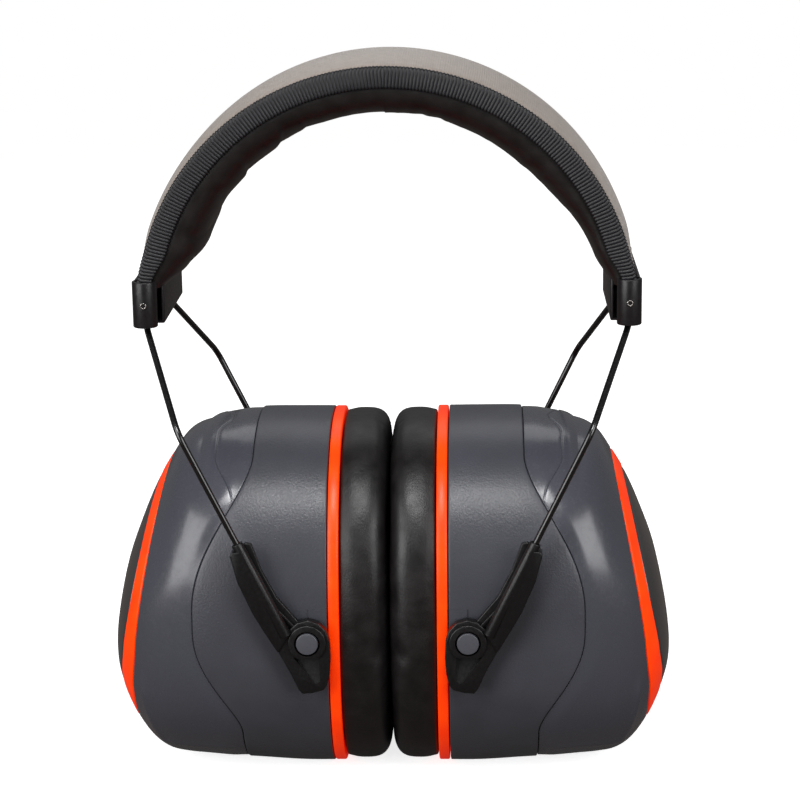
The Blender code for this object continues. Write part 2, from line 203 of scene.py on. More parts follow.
def new_material(name, colour, roughness, **sockets):
    """A Principled material, its tree, its shader and its Object coordinates."""
    material = bpy.data.materials.new(name)
    material.use_nodes = True
    tree = material.node_tree
    shader = tree.nodes["Principled BSDF"]
    shader.inputs["Base Color"].default_value = linear(colour)
    shader.inputs["Roughness"].default_value = roughness
    for key, value in sockets.items():
        shader.inputs[key.replace("_", " ")].default_value = value
    place = add_node(tree, "TexCoord", {}).outputs["Object"]
    return material, tree, shader, place


def per_metre(millimetres):
    """The scale that gives a pattern this pitch on coordinates in metres."""
    return 1.0 / (millimetres * MM)


def noise_of(tree, place, pitch, detail=2.0, roughness=0.5):
    inputs = {"Vector": place, "Scale": per_metre(pitch), "Detail": detail,
              "Roughness": roughness}
    return add_node(tree, "TexNoise", inputs).outputs["Fac"]


def spread(tree, factor, low, high, start=0.3, end=0.7):
    """A factor mapped to a range of values."""
    inputs = {"Value": factor, "From Min": start, "From Max": end, "To Min": low, "To Max": high}
    return add_node(tree, "MapRange", inputs).outputs["Result"]


def tinted(tree, shader, factor, dark, light, start=0.3, end=0.7):
    """Lets the colour wander between two tints, as the factor goes from start to end."""
    inputs = {0: spread(tree, factor, 0.0, 1.0, start, end), 6: linear(dark), 7: linear(light)}
    mix = add_node(tree, "Mix", inputs, data_type="RGBA")
    tree.links.new(mix.outputs[2], shader.inputs["Base Color"])


def bumped(tree, shader, height, millimetres, strength=1.0, under=None):
    """Raises the surface by this height, in millimetres, on top of another bump if given."""
    inputs = {"Height": height, "Distance": millimetres * MM, "Strength": strength}
    if under:
        inputs["Normal"] = under
    bump = add_node(tree, "Bump", inputs).outputs["Normal"]
    tree.links.new(bump, shader.inputs["Normal"])
    return bump


# %% [markdown]
# ## Moulded plastics
# The cups are ABS in two finishes. The base comes from a spark-eroded mould: a fine even pitting
# of about 0.3 mm, drawn at 0.55 mm so that it shows, spreads a highlight into a soft patch. The
# outer shell is polished, so lamps show in it with sharp edges, and it only waves a little where
# the plastic shrank.
# %% Cup plastics
def grained_abs():
    """ABS from a spark-eroded mould: dull, with a fine pitting."""
    material, tree, shader, place = new_material("abs_slate_grained", "45464d", 0.34)
    fine = noise_of(tree, place, 0.55, 3.0, 0.6)
    tinted(tree, shader, noise_of(tree, place, 14.0), "3e3f45", "44454c")
    tree.links.new(spread(tree, fine, 0.28, 0.38), shader.inputs["Roughness"])
    bumped(tree, shader, fine, 0.08)
    return material


def polished_abs(name, colour, roughness):
    """ABS from a polished mould: sharp reflections on slow waves of shrinkage."""
    material, tree, shader, place = new_material(name, colour, roughness, Coat_Weight=0.4,
                                                 Coat_Roughness=0.16)
    shrink = noise_of(tree, place, 9.0, 1.0)
    faint = noise_of(tree, place, 1.6, 2.0)
    tree.links.new(spread(tree, faint, roughness - 0.03, roughness + 0.05),
                   shader.inputs["Roughness"])
    bumped(tree, shader, shrink, 0.05)
    return material


def signal_abs():
    """Signal-orange ABS, taken to be fluorescent, which sends out more orange than falls on it. Its
    red emission is also painted light: a glow over the whole ring that keeps it bright and turns it
    red where it is in shade."""
    material, tree, shader, place = new_material("abs_signal_orange", "ff5000", 0.34)
    shader.inputs["Specular IOR Level"].default_value = 0.35
    # Painted light: a red glow, so that the ring reads red where it lies in shade.
    shader.inputs["Emission Color"].default_value = linear("ff1000")
    shader.inputs["Emission Strength"].default_value = 0.4
    tinted(tree, shader, noise_of(tree, place, 7.0), "fb4400", "ff5200")
    fine = noise_of(tree, place, 0.5)
    tree.links.new(spread(tree, fine, 0.28, 0.4), shader.inputs["Roughness"])
    bumped(tree, shader, fine, 0.008)
    return material


plastic = {
    "base": grained_abs(),
    "shell": polished_abs("abs_slate_polished", "43444c", 0.25),
    "cap": polished_abs("abs_graphite_polished", "3a3839", 0.18),
    "accent": signal_abs(),
}
print("cup plastics:", ", ".join(m.name for m in plastic.values()))

# %% [markdown]
# The arms are glass-filled nylon, which comes out of the mould black with a satin, slightly
# mottled skin. The pivot button is the cups' grey, the clips and the cushion plate black ABS.
# %% Nylon and small plastics
def satin_plastic(name, colour, roughness, mottle, depth):
    """A satin moulding whose skin is mottled at this pitch, this deep."""
    material, tree, shader, place = new_material(name, colour, roughness)
    skin = noise_of(tree, place, mottle, 4.0, 0.65)
    tree.links.new(spread(tree, skin, roughness - 0.08, roughness + 0.1),
                   shader.inputs["Roughness"])
    bumped(tree, shader, skin, depth)
    return material


plastic["arm"] = satin_plastic("nylon_black_satin", "080708", 0.38, 0.6, 0.03)
plastic["button"] = satin_plastic("nylon_grey_button", "4b4c52", 0.32, 0.8, 0.01)
plastic["clip"] = satin_plastic("abs_black_clip", "121012", 0.34, 0.7, 0.015)
plastic["plate"] = satin_plastic("abs_black_plate", "141315", 0.45, 0.5, 0.02)
print("nylon and small plastics ready")

# %% [markdown]
# ## Metals
# The spring wires are hardened steel with a black enamel coat, so they show a dark glossy line
# and not bare metal. The rivets in the clips are blackened brass, worn bright on the rim.
# %% Metals
def coated_steel():
    """Spring steel under black enamel: a dark gloss over faint drawing marks."""
    material, tree, shader, place = new_material("spring_steel_black_coated", "060506", 0.22,
                                                 Coat_Weight=0.6, Coat_Roughness=0.1)
    marks = noise_of(tree, place, 0.9, 3.0)
    tree.links.new(spread(tree, marks, 0.18, 0.32), shader.inputs["Roughness"])
    bumped(tree, shader, marks, 0.006)
    return material


def rivet_brass():
    """Blackened brass: a dark metal with brighter worn spots."""
    material, tree, shader, place = new_material("brass_blackened", "a8a4a0", 0.22, Metallic=1.0)
    wear = noise_of(tree, place, 0.7, 3.0)
    tinted(tree, shader, wear, "8a8683", "d0ccc8")
    bumped(tree, shader, wear, 0.01)
    return material


metal = {"wire": coated_steel(), "rivet": rivet_brass()}
print("metals:", ", ".join(m.name for m in metal.values()))

# %% [markdown]
# ## Soft materials
# The cover is a tight knitted polyester in grey-taupe with a dull sheen. Its loops are about
# 0.35 mm apart, drawn at 0.6 mm because finer ones would vanish. The cushions and the pad are PVC
# leatherette, pressed with a fine pebble grain. The foams are open-cell polyurethane.
# %% Soft materials
def knitted_polyester():
    """A tight knit: rows of small loops along the band, dull, with a soft sheen."""
    material, tree, shader, _ = new_material("polyester_knit_taupe", "958980", 0.85,
                                             Sheen_Weight=0.35, Sheen_Roughness=0.5)
    laid = add_node(tree, "UVMap", {}, uv_map="UVMap").outputs["UV"]
    turns = {"Vector": laid, "Scale": (COVER_ROUND / 0.6, COVER_LONG / 0.6, 1.0)}
    loops = add_node(tree, "Mapping", turns).outputs["Vector"]
    settings = {"wave_type": "BANDS", "wave_profile": "SIN"}
    wales = add_node(tree, "TexWave", {"Vector": loops, "Scale": 0.314, "Distortion": 0.6},
                     bands_direction="X", **settings).outputs["Fac"]
    courses = add_node(tree, "TexWave", {"Vector": loops, "Scale": 0.314, "Distortion": 0.8},
                       bands_direction="Y", **settings).outputs["Fac"]
    weave = add_node(tree, "Math", {0: wales, 1: courses}, operation="ADD").outputs[0]
    place = add_node(tree, "TexCoord", {}).outputs["Object"]
    tinted(tree, shader, noise_of(tree, place, 2.2, 5.0, 0.7), "867a71", "998d84")
    bumped(tree, shader, weave, 0.05, 0.7)
    return material


def leatherette(name, dark, light, roughness, grain):
    """PVC leatherette: pebbles of this size between fine creases, under a slight gloss."""
    material, tree, shader, place = new_material(name, light, roughness)
    pebbles = add_node(tree, "TexVoronoi", {"Vector": place, "Scale": per_metre(grain),
                                            "Randomness": 0.9}).outputs["Distance"]
    slack = noise_of(tree, place, 4.5, 3.0)
    tinted(tree, shader, slack, dark, light)
    tree.links.new(spread(tree, slack, roughness - 0.06, roughness + 0.07),
                   shader.inputs["Roughness"])
    creases = bumped(tree, shader, slack, 0.12)
    bumped(tree, shader, pebbles, -0.03, 0.6, under=creases)
    return material


def tape_yarn():
    """Polyester grosgrain: near-black cords with a blue cast, with a painted highlight on their crests
    and painted shade in the gaps between. The mesh says with its attribute how near a crest each point
    is."""
    material, tree, shader, place = new_material("polyester_grosgrain_black", "101014", 0.5)
    hairs = noise_of(tree, place, 0.25, 4.0, 0.7)
    crest = add_node(tree, "Attribute", {}, attribute_name="crest").outputs["Fac"]
    # Painted highlight on the cords' crests and painted shade in the gaps between them, broken up by
    # the hairs.
    crest_highlight_gap_shade = add_node(tree, "Math", {0: crest, 1: hairs}, operation="MULTIPLY").outputs[0]
    tinted(tree, shader, crest_highlight_gap_shade, "020203", "24242b", 0.3, 0.62)
    bumped(tree, shader, hairs, 0.04)
    return material


def open_cell_foam():
    """Polyurethane foam: small open cells, their walls painted lighter and their hollows painted
    darker as shade in the cells.
    """
    material, tree, shader, place = new_material("polyurethane_foam_grey", "4a4a4c", 0.95)
    cells = add_node(tree, "TexVoronoi", {"Vector": place, "Scale": per_metre(0.9)},
                     feature="DISTANCE_TO_EDGE").outputs["Distance"]
    # Painted shade in the cell hollows and painted light on the walls between them.
    tinted(tree, shader, spread(tree, cells, 1.0, 0.0, 0.0, 0.3), "2b2b2d", "5a5a5c")
    bumped(tree, shader, cells, 0.4)
    return material


BAND_ANGLE = 84.0  # where the cover and the binding end inside the clip, from the top
BAND_RADIUS = 65.3
COVER_LONG = BAND_RADIUS * math.radians(BAND_ANGLE)  # length of half the cover
COVER_ROUND = 91.0  # once round the cover's section
fabric = {
    "cover": knitted_polyester(),
    "tape": tape_yarn(),
    "cushion": leatherette("pvc_leatherette_black", "0e0c0c", "151212", 0.42, 0.7),
    "pad": leatherette("pvc_leatherette_brown_black", "120f0e", "191514", 0.38, 0.8),
    "foam": open_cell_foam(),
}
print("soft materials:", ", ".join(m.name for m in fabric.values()))

# %% [markdown]
# ## The cup's surface
# A cup is one smooth form. Seen from the front it bulges away from the head and it is flat where
# it stands. Seen from the side it is a superellipse. These are the same stations as the CAD
# solids have, so the fine pieces lie where the plain ones do.
# %% The cup's surface
RIM = 12.8  # where the accent ring begins, from the centre plane
RING_WIDTH = 2.8
GAP = 0.3
SKIN = 1.5  # thickness of the outer shell, the stripe and the end cap
STEP = SKIN + 2 * GAP
WALL = 2.4
SQUARENESS = 2.35
# Distance from the centre plane, top, bottom and half of the depth from front to rear.
CUP_STATIONS = np.array((
    (12.8, 96.0, -0.9, 43.0),
    (24.0, 96.1, -0.9, 43.0),
    (36.0, 96.0, -0.1, 42.9),
    (44.0, 94.9, 0.4, 42.6),
    (50.6, 93.7, 0.9, 41.6),
    (56.0, 89.9, 1.3, 40.0),
    (60.9, 83.2, 2.3, 38.0),
    (65.1, 75.9, 5.2, 35.6),
    (68.9, 67.0, 10.5, 32.4),
    (72.1, 58.0, 17.0, 27.6),
    (74.6, 46.5, 23.8, 20.0),
    (75.9, 37.5, 28.2, 10.0),
    (76.2, 32.5, 32.5, 0.0),
))
LAST = len(CUP_STATIONS) - 1.0
END = 76.2  # the outermost point of a cup
COLUMNS = 240  # faces round a cup
ROUND = np.linspace(0.0, 2 * math.pi, COLUMNS + 1)
LATITUDE = np.degrees(np.arctan2(np.sin(ROUND), np.abs(np.cos(ROUND))))


def stations_at(place):
    """The four station values at fractional places along CUP_STATIONS, on a smooth curve."""
    place = np.clip(place, 0.0, LAST)
    i = np.minimum(place.astype(int), int(LAST) - 1)
    t = (place - i)[..., None]
    a, b, c, d = (CUP_STATIONS[np.clip(i + k, 0, int(LAST))] for k in (-1, 0, 1, 2))
    bend = 2 * a - 5 * b + 4 * c - d
    twist = 3 * (b - c) + d - a
    return b + t * (c - a + t * (bend + t * twist)) / 2


PLACES = np.linspace(0.0, LAST, 4000)
PLACE_DISTANCES = stations_at(PLACES)[:, 0]


def place_of(distance):
    """Where along CUP_STATIONS the surface is this far from the centre plane."""
    return np.interp(distance, PLACE_DISTANCES, PLACES)


def on_surface(place, angle):
    distance, top, bottom, depth = np.moveaxis(stations_at(place), -1, 0)
    power = 2 / SQUARENESS
    across = np.sign(np.cos(angle)) * np.abs(np.cos(angle)) ** power
    up = np.sign(np.sin(angle)) * np.abs(np.sin(angle)) ** power
    height = (top + bottom) / 2 + (top - bottom) / 2 * up
    return np.stack([distance, np.maximum(depth, 0.0) * across, np.maximum(height, 0.0)], -1)


def below_surface(distance, angle, inset):
    """Points of the surface moved this far into the cup, along its normal."""
    place = place_of(np.broadcast_to(distance, angle.shape))
    inset = np.broadcast_to(inset, angle.shape)[..., None]
    along = on_surface(place + 0.01, angle) - on_surface(place - 0.01, angle)
    around = on_surface(place, angle + 0.02) - on_surface(place, angle - 0.02)
    outward = np.cross(around, along)
    length = np.linalg.norm(outward, axis=-1, keepdims=True)
    tip = (place > LAST - 0.01)[..., None]
    outward = np.where(tip, (1.0, 0.0, 0.0), outward / np.maximum(length, 1e-9))
    return on_surface(place, angle) - outward * inset


def cup_ring(distance, inset):
    return below_surface(distance, ROUND, inset)


def edge_rows(edge, radius, way):
    """Rows that round a border off: from its side up to the surface. way is 1 where the piece
    lies further out than the border, and -1 where it lies nearer the head."""
    rows = []
    for turn in (90, 65, 42, 20, 0):
        lift = math.sin(math.radians(turn))
        drop = 1 - math.cos(math.radians(turn))
        rows.append((edge + way * radius * (1 - lift), radius * drop))
    return rows


def spaced(start, end, count):
    """Rows on the surface between two edges, both left out."""
    return [(start + (end - start) * k / count, 0.0) for k in range(1, count)]


def skin_band(name, start, end, count, relief, radius=0.3, middle=None):
    """A closed band of the cup's skin between two edges, with rounded borders."""
    top = edge_rows(start, radius, 1)
    top += middle or spaced(start + radius, end - radius, count)
    top += edge_rows(end, radius, -1)[::-1]
    rings = []
    for distance, inset in top:
        rings.append(cup_ring(distance, inset - relief(distance, LATITUDE)))
    back = [(end + (start - end) * k / 8, SKIN) for k in range(9)]
    rings += [cup_ring(distance, inset) for distance, inset in back]
    return laid_grid(name, rings + rings[:1])


print("cup:", COLUMNS, "columns, outermost point at", END, "mm")

# %% [markdown]
# ## Where the cup's pieces meet
# The seam between the grained base and the polished shell swings out to the front and the rear
# like an S. A groove leaves it and closes a leaf-shaped panel over the top of the shell. The
# stripe leans in over the top. Each edge is its distance from the centre plane as a function of
# the latitude: 0 at the front and the rear of the cup, 90 on top and -90 underneath.
# %% Edges on the cup
def seam(latitude):
    above = 35.8 + 15.7 * (1 - smooth_step(latitude, 4.0, 60.0))
    below = 39.5 + 12.0 * (1 - smooth_step(-latitude, 0.0, 38.0))
    return np.where(latitude > 2.0, above, np.minimum(above, below))


def panel_edge(latitude):
    """The groove that closes the leaf-shaped panel, or a line near the seam where there is none."""
    width = 10.3 * smooth_step(latitude, 36.0, 61.0) - 3.4 * smooth_step(latitude, 78.0, 92.0)
    return seam(latitude) + np.maximum(width, 0.9)


def stripe_inner(latitude):
    height = np.sin(np.radians(latitude))
    return 69.3 - 9.0 * np.maximum((height + 0.35) / 1.35, 0.0) ** 1.5


def stripe_outer(latitude):
    return stripe_inner(latitude) + 2.9 + 1.0 * np.cos(np.radians(latitude))


print("seam at the front", seam(0.0), "mm out, on top", seam(90.0), "mm out")

# %% [markdown]
# ## The base of the cup
# The base is a bowl with a wall of 2.4 mm, stepped in where the outer shell covers it. It is
# one closed skin: out along the surface, over a small rounded lip at the seam, down the step,
# round under the shell and back along the inner wall.
# %% The base
def build_base(name):
    rim = RIM + RING_WIDTH + GAP
    edge = seam(LATITUDE)
    rows = edge_rows(rim, 0.35, 1)
    rows += [(rim + 0.35 + (20.0 - rim) * k / 4, 0.0) for k in range(1, 4)]
    rows += spaced(20.0, edge - 0.45, 22)
    rows += edge_rows(edge, 0.4, -1)[::-1]
    rows += [(edge, STEP)]
    rows += [(edge + (END - edge) * k / 14, STEP) for k in range(1, 15)]
    rows += [(END - (END - edge) * k / 14, STEP + WALL) for k in range(14)]
    rows += [(edge - 3.0, WALL + 1.0), (26.0, WALL), (20.0, WALL), (rim, WALL)]
    rings = [cup_ring(distance, inset) for distance, inset in rows]
    return laid_grid(name, rings + rings[:1])


bases = on_each_side(build_base, "cup_base")
for side, piece in bases.items():
    dress(piece, plastic["base"])
    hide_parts(f"cup_shell_{side}")
    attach(piece, f"{side}_cup")
print("cup base:", len(bases["right"].data.polygons), "faces")

# %% [markdown]
# The base carries a shallow raised pad round each pivot, which shows as an L-shaped line beside
# the arm. It is a plate that follows the wall, let into it by a millimetre.
# %% Pivot pads
PIVOT = (20.9, 46.0)


def build_pivot_pad(name):
    """A plate on the front wall, from the ring to just outside the pivot and up past the arm."""
    angles = math.pi - np.radians(np.linspace(-9.0, 5.2, 20))
    rings = []
    for width in np.linspace(RIM + RING_WIDTH + 0.5, PIVOT[0] - 0.2, 16):
        upper = below_surface(width, angles, -0.35)
        lower = below_surface(width, angles, 1.0)
        rings.append(np.concatenate([lower[:1], upper, lower[::-1]]))
    return laid_grid(name, with_ends(rings))


for (side, end), piece in on_each_corner(build_pivot_pad, "pivot_pad").items():
    dress(piece, plastic["base"], angle=30)
    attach(piece, f"{side}_cup")
print("pivot pads ready")

# %% [markdown]
# ## The polished outer shell
# The shell slides over the base from outside. Three things break its surface: it lies a hair
# lower than the base at the seam, the leaf-shaped panel is sunk behind a fine groove, and a
# flute starts as a sharp V near the stripe on top and fades out down the front. The rows of the
# grid follow the groove, so it stays crisp without a very fine grid.
# %% The outer shell
def sole_edge(distance, latitude):
    """The crease where the shell's side turns under: down its outer end, then along its sole."""
    down = np.interp(-latitude, (8.0, 26.0, 41.0, 51.0), (66.6, 65.8, 64.0, 61.5))
    beside = smooth_step(-latitude, 8.0, 20.0) * (1 - smooth_step(-latitude, 50.0, 56.0))
    under = smooth_step(distance, 40.0, 46.0) * (1 - smooth_step(distance, 61.0, 64.0))
    outer = beside * np.exp(-np.abs(distance - down) / 1.1)
    sole = under * np.exp(-np.abs(latitude + 50.0) * 0.7 / 1.7)
    return 0.7 * np.maximum(outer, sole)


def shell_relief(distance, latitude):
    """How far the shell's surface stands out, or in where it is less than 0."""
    border = panel_edge(latitude)
    sill = -0.3 * (1 - smooth_step(distance, seam(latitude), seam(latitude) + 5.0))
    on_panel = smooth_step(latitude, 36.0, 52.0)
    panel = -0.12 * on_panel * (distance < border)
    groove = -0.28 * on_panel * np.exp(-((distance - border) / 0.16) ** 2)
    height = smooth_step(latitude, 28.0, 74.0)
    valley = 49.8 + 0.9 * height
    side = np.where(distance < valley, 3.6, 5.5)
    apart = np.abs(distance - valley) / side
    flute = -1.0 * height * np.exp(-apart ** 1.3 * 1.6)
    shoulder = 0.35 * height * np.exp(-((distance - 56.5) / 3.2) ** 2)
    return sill + panel + groove + flute + shoulder + sole_edge(distance, latitude)


def build_shell(name):
    start = seam(LATITUDE) + 0.16
    border = panel_edge(LATITUDE)
    end = stripe_inner(LATITUDE)
    middle = spaced(start + 0.3, border - 0.35, 12)
    middle += [(border + step, 0.0) for step in (-0.35, -0.2, -0.1, 0.0, 0.1, 0.2, 0.35)]
    middle += spaced(border + 0.35, end - 0.3, 52)
    return skin_band(name, start, end, 0, shell_relief, middle=middle)


shells = on_each_side(build_shell, "outer_shell")
for side, piece in shells.items():
    dress(piece, plastic["shell"], angle=50)
    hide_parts(f"outer_shell_{side}")
    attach(piece, f"{side}_cup")
print("outer shell:", len(shells["right"].data.polygons), "faces")

# %% [markdown]
# ## Stripe, end cap and accent ring
# The stripe is a separate orange moulding that is held between the shell and the end cap. Its
# face is an eighth of a millimetre proud, with soft borders. The end cap is a shallow dome. The
# ring that clips the cushion in is the same orange.
# %% Stripe, end cap and ring
def build_stripe(name):
    def proud(distance, latitude):
        return 0.12
    start = stripe_inner(LATITUDE) + 0.14
    return skin_band(name, start, stripe_outer(LATITUDE), 8, proud, radius=0.35)


def build_end_cap(name):
    start = stripe_outer(LATITUDE) + 0.14
    rows = [(start + 0.3, SKIN)] + edge_rows(start, 0.45, 1)
    rows += [(start + 0.45 + (END - start - 0.45) * (1 - (1 - k / 26) ** 2), 0.0)
             for k in range(1, 27)]
    rows += [(END - (END - start - 0.3) * k / 8, SKIN) for k in range(9)]
    return laid_grid(name, [cup_ring(distance, inset) for distance, inset in rows])


def build_accent_ring(name):
    """The ring has the outline of the rim, so its rows keep one outline and change distance."""
    section = [(RIM, 3.0), (RIM, 0.35), (RIM + 0.1, 0.12), (RIM + 0.35, 0.0),
               (RIM + RING_WIDTH - 0.35, 0.0), (RIM + RING_WIDTH - 0.1, 0.12),
               (RIM + RING_WIDTH, 0.35), (RIM + RING_WIDTH, 3.0)]
    rings = [rim_ring(distance, inset) for distance, inset in section]
    return laid_grid(name, rings + rings[:1])


def rim_ring(distance, inset):
    """A ring with the outline of the cup's rim, at any distance from the centre plane."""
    ring = cup_ring(14.0, inset)
    ring[:, 0] = distance
    return ring


trim = (
    (build_stripe, "stripe", "accent", "accent_plastic", "outer_stripe"),
    (build_end_cap, "cup_end_cap", "cap", "shell_plastic", "end_cap"),
    (build_accent_ring, "rim_ring", "accent", "accent_plastic", "accent_ring"),
)
for build, name, finish, slot, node in trim:
    for side, piece in on_each_side(build, name).items():
        dress(piece, plastic[finish], angle=50)
        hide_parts(f"{node}_{side}")
        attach(piece, f"{side}_cup")
    print(name, "ready")

# %% [markdown]
# ## Inside the cup
# The cushion is glued to a black plate that snaps into the rim, and a block of open-cell foam
# fills the outer half of the cup. Both are seen through the ear opening when the band is spread.
# The foam was cut from a sheet, so its face is flat with a soft edge and its back takes the
# shape of the shell.
# %% Plate and acoustic foam
def build_plate(name):
    section = [(RIM, 3.6), (RIM + 0.1, 3.3), (RIM + RING_WIDTH, 3.3), (RIM + RING_WIDTH, 15.1),
               (RIM + RING_WIDTH - 0.4, 15.5), (RIM + 0.4, 15.5), (RIM, 15.1)]
    rings = [rim_ring(distance, inset) for distance, inset in section]
    return laid_grid(name, rings + rings[:1])


def build_acoustic_foam(name):
    inset = STEP + WALL + 0.8
    edge = seam(LATITUDE) + 0.4 * (stripe_inner(LATITUDE) - seam(LATITUDE))
    face = 43.0
    rows = [(END + (edge - END) * (k / 14) ** 0.8, inset) for k in range(15)]
    rings = [cup_ring(distance, depth) for distance, depth in rows]
    outline = rings[-1]
    middle = np.array((face, 0.0, 48.0))
    for share in (0.97, 0.9, 0.75, 0.6, 0.45, 0.3, 0.15, 0.0):
        ring = middle + (outline - middle) * share
        ring[:, 0] = face + 0.8 * share ** 8
        rings.append(ring)
    return laid_grid(name, rings)


def wander(obj, pitch, height, seed=0.0):
    """Moves each point along its normal by slow noise of this pitch and height, in millimetres."""
    normals = [vertex.normal.copy() for vertex in obj.data.vertices]
    moved = points_of(obj)
    shift = Vector((seed, seed * 0.7, -seed))
    for i, normal in enumerate(normals):
        lift = noise.noise(Vector(moved[i]) / (pitch * MM) + shift) * height * MM
        moved[i] += np.array(normal) * lift
    put_points(obj, moved)
    return obj


for side, piece in on_each_side(build_plate, "cushion_plate_ring").items():
    dress(piece, plastic["plate"])
    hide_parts(f"cushion_plate_{side}")
    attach(piece, f"{side}_cup")
for side, piece in on_each_side(build_acoustic_foam, "foam_liner").items():
    wander(piece, 6.0, 0.5)
    dress(piece, fabric["foam"], angle=60)
    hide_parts(f"acoustic_foam_{side}")
    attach(piece, f"{side}_cup")
print("plate and acoustic foam ready")

# %% [markdown]
# ## Filling soft pieces
# Leatherette over foam keeps small signs of being stuffed: it is tight where the foam pushes and
# slack at the seams. The Cloth simulation gives that. Its distances suit large scenes, so the
# mesh is simulated at ten times its size, with gravity off and air pressure inside for the foam.
# How far a point may move is capped, so the piece stays inside the space of its CAD solid.
# %% Cloth filling
CLOTH_SCALE = 10.0


def filled(obj, held, pressure, slack, cap, frames=20):
    """Inflates a closed mesh. held(points) says which points are sewn down, in millimetres."""
    rest = points_of(obj)
    put_points(obj, rest * CLOTH_SCALE)
    sewn = obj.vertex_groups.new(name="sewn")
    sewn.add([int(i) for i in np.flatnonzero(held(rest / MM))], 1.0, "REPLACE")
    only(obj)
    cloth = obj.modifiers.new("Filling", "CLOTH")
    cloth.settings.vertex_group_mass = "sewn"
    cloth.settings.use_pressure = True
    cloth.settings.uniform_pressure_force = pressure
    cloth.settings.shrink_min = -slack
    cloth.settings.tension_stiffness = 40
    cloth.settings.compression_stiffness = 40
    cloth.settings.bending_stiffness = 0.3
    cloth.settings.effector_weights.gravity = 0.0
    cloth.collision_settings.use_collision = False
    cloth.point_cache.frame_end = frames
    for frame_number in range(1, frames + 1):
        bpy.context.scene.frame_set(frame_number)
    bpy.ops.object.modifier_apply(modifier=cloth.name)
    bpy.context.scene.frame_set(1)
    obj.vertex_groups.clear()
    moved = points_of(obj) / CLOTH_SCALE - rest
    far = np.linalg.norm(moved, axis=1, keepdims=True)
    moved *= np.minimum(far, cap * MM) / np.maximum(far, 1e-9)
    put_points(obj, rest + moved)
    print(obj.name, "swelled by up to", round(float(np.minimum(far, cap * MM).max()) / MM, 2), "mm")
    return obj


# %% [markdown]
# ## Ear cushions
# A cushion is a ring of leatherette, welded to the plate at its back. Its section is a rounded
# rectangle, fuller towards the face, and where the cups meet the two faces press flat on each
# other. It starts a little smaller than its space and the filling brings it out.
# %% Ear cushions
CUSHION_BACK = RIM - GAP
CUSHION_PROFILE = (
    (12.5, 15.9), (12.5, 12.0), (12.5, 8.6), (12.5, 5.0), (12.5, 2.4), (12.5, 1.5), (12.2, 1.2),
    (11.4, 1.1), (9.6, 1.0), (7.6, 0.95), (5.8, 1.0), (4.3, 1.2), (3.1, 1.65), (2.1, 2.4),
    (1.3, 3.5), (0.75, 5.0), (0.5, 7.0), (0.5, 8.8), (0.55, 10.6), (0.9, 12.4), (1.6, 13.9),
    (2.7, 15.0), (4.2, 15.7), (6.4, 16.0), (9.0, 16.1), (11.4, 16.1), (12.2, 16.1),
)


def build_cushion(name):
    rings = [rim_ring(distance, inset) for distance, inset in CUSHION_PROFILE]
    piece = laid_grid(name, rings + rings[:1])
    filled(piece, lambda points: np.abs(points[:, 0]) > CUSHION_BACK - 1.4, 3.0, 0.02, 0.4)
    points = points_of(piece)
    points[:, 0] = np.maximum(points[:, 0], 0.2 * MM)
    put_points(piece, points)
    wander(piece, 11.0, 0.2, seed=3.0)
    apply(piece, "SUBSURF", levels=1, render_levels=1)
    return piece


for side, piece in on_each_side(build_cushion, "ear_cushion").items():
    dress(piece, fabric["cushion"], angle=60)
    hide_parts(f"cushion_skin_{side}", f"cushion_foam_{side}")
    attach(piece, f"{side}_cup")
    print(piece.name, len(piece.data.polygons), "faces")

# %% [markdown]
# ## Pivot pins
# Each cup hangs on two pins with round button heads. A pin is turned: a cylinder for the head with its
# rim bevelled and a neck extruded from its back.
# %% Pivot pins
PIN_FACE = 48.2
PIN_NECK = 44.0
PIN_ROOT = 39.0


def build_pin(name):
    deselect_all()
    depth = PIN_FACE - PIN_NECK
    bpy.ops.mesh.primitive_cylinder_add(
        vertices=64, radius=2.85 * MM, depth=depth * MM, rotation=(math.pi / 2, 0.0, 0.0),
        location=(PIVOT[0] * MM, -(PIN_FACE - depth / 2) * MM, PIVOT[1] * MM))
    pin = bpy.context.object
    pin.name = name
    only(pin)
    bpy.ops.object.transform_apply(location=True, rotation=True, scale=True)
    for face in pin.data.polygons:
        face.select = face.normal.y > 0.9
    bpy.ops.object.mode_set(mode="EDIT")
    bpy.ops.mesh.select_mode(type="FACE")
    bpy.ops.mesh.inset(thickness=0.95 * MM)
    bpy.ops.mesh.extrude_region_move(
        TRANSFORM_OT_translate={"value": (0.0, (PIN_NECK - PIN_ROOT) * MM, 0.0)})
    bpy.ops.object.mode_set(mode="OBJECT")
    apply(pin, "BEVEL", width=0.22 * MM, segments=3, limit_method="ANGLE")
    return pin


for (side, end), piece in on_each_corner(build_pin, "pivot_button").items():
    dress(piece, plastic["button"])
    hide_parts(f"pivot_pin_{side}_{end}")
    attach(piece, f"{side}_cup")
print("pivot buttons ready")

# %% [markdown]
# ## Arms
# An arm is one nylon moulding: a thick bar that grips the wire, a thinner web with ribs beside it,
# and a plate with the boss round the pivot. Each of these is an outline extruded or a cylinder,
# with its edges bevelled, and Booleans join them and cut the pivot hole and the pocket under it.
# %% Arm outlines
ARM_BACK = 44.2
ARM_FRONT = 47.2
WIRE_PLANE = 47.6
TUBE_RADIUS = 1.5
ARM_TOP = Vector((38.3, 0.0, 73.0))
WIRE_BEND = Vector((52.6, 0.0, 102.6))
